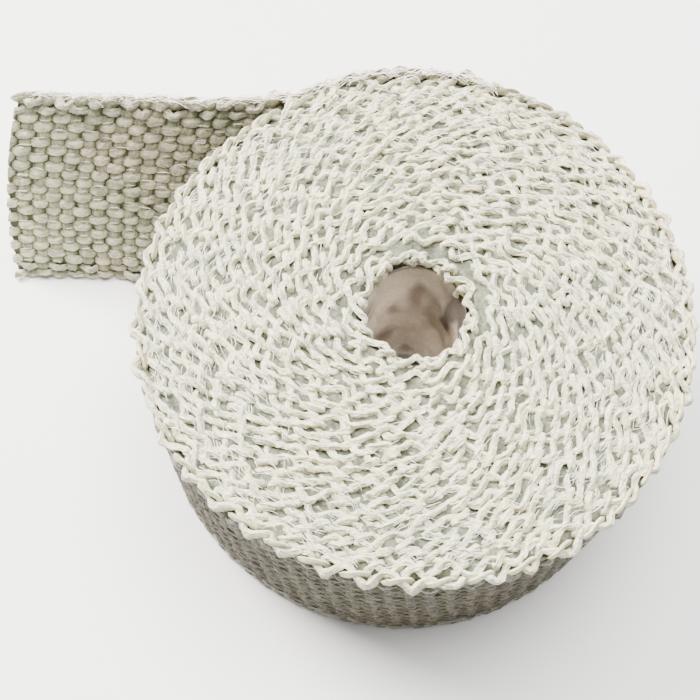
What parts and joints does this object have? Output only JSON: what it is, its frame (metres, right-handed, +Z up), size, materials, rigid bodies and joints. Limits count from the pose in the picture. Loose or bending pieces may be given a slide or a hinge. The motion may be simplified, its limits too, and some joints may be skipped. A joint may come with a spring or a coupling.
{
  "type": "exhaust heat wrap roll",
  "caption": "Roll of woven glass-fibre exhaust heat wrap lying on its end, wound on a paper tube, with the tape's free end standing beside it.",
  "frame": {"origin": "on the table, under the middle of the roll and its free tail together; the roll's axis is at X = +18.5 mm", "axes": "+Z up along the roll's axis, -X along the free tail"},
  "size_m": [0.141, 0.104, 0.0508],
  "materials": {
    "glass_cloth": "white woven texturised glass yarn, matt",
    "kraft_paper": "thin brown kraft paper, matt and creased"
  },
  "bodies": {
    "root": {"heat_wrap": "glass_cloth", "paper_core": "kraft_paper"}
  },
  "joints": []
}
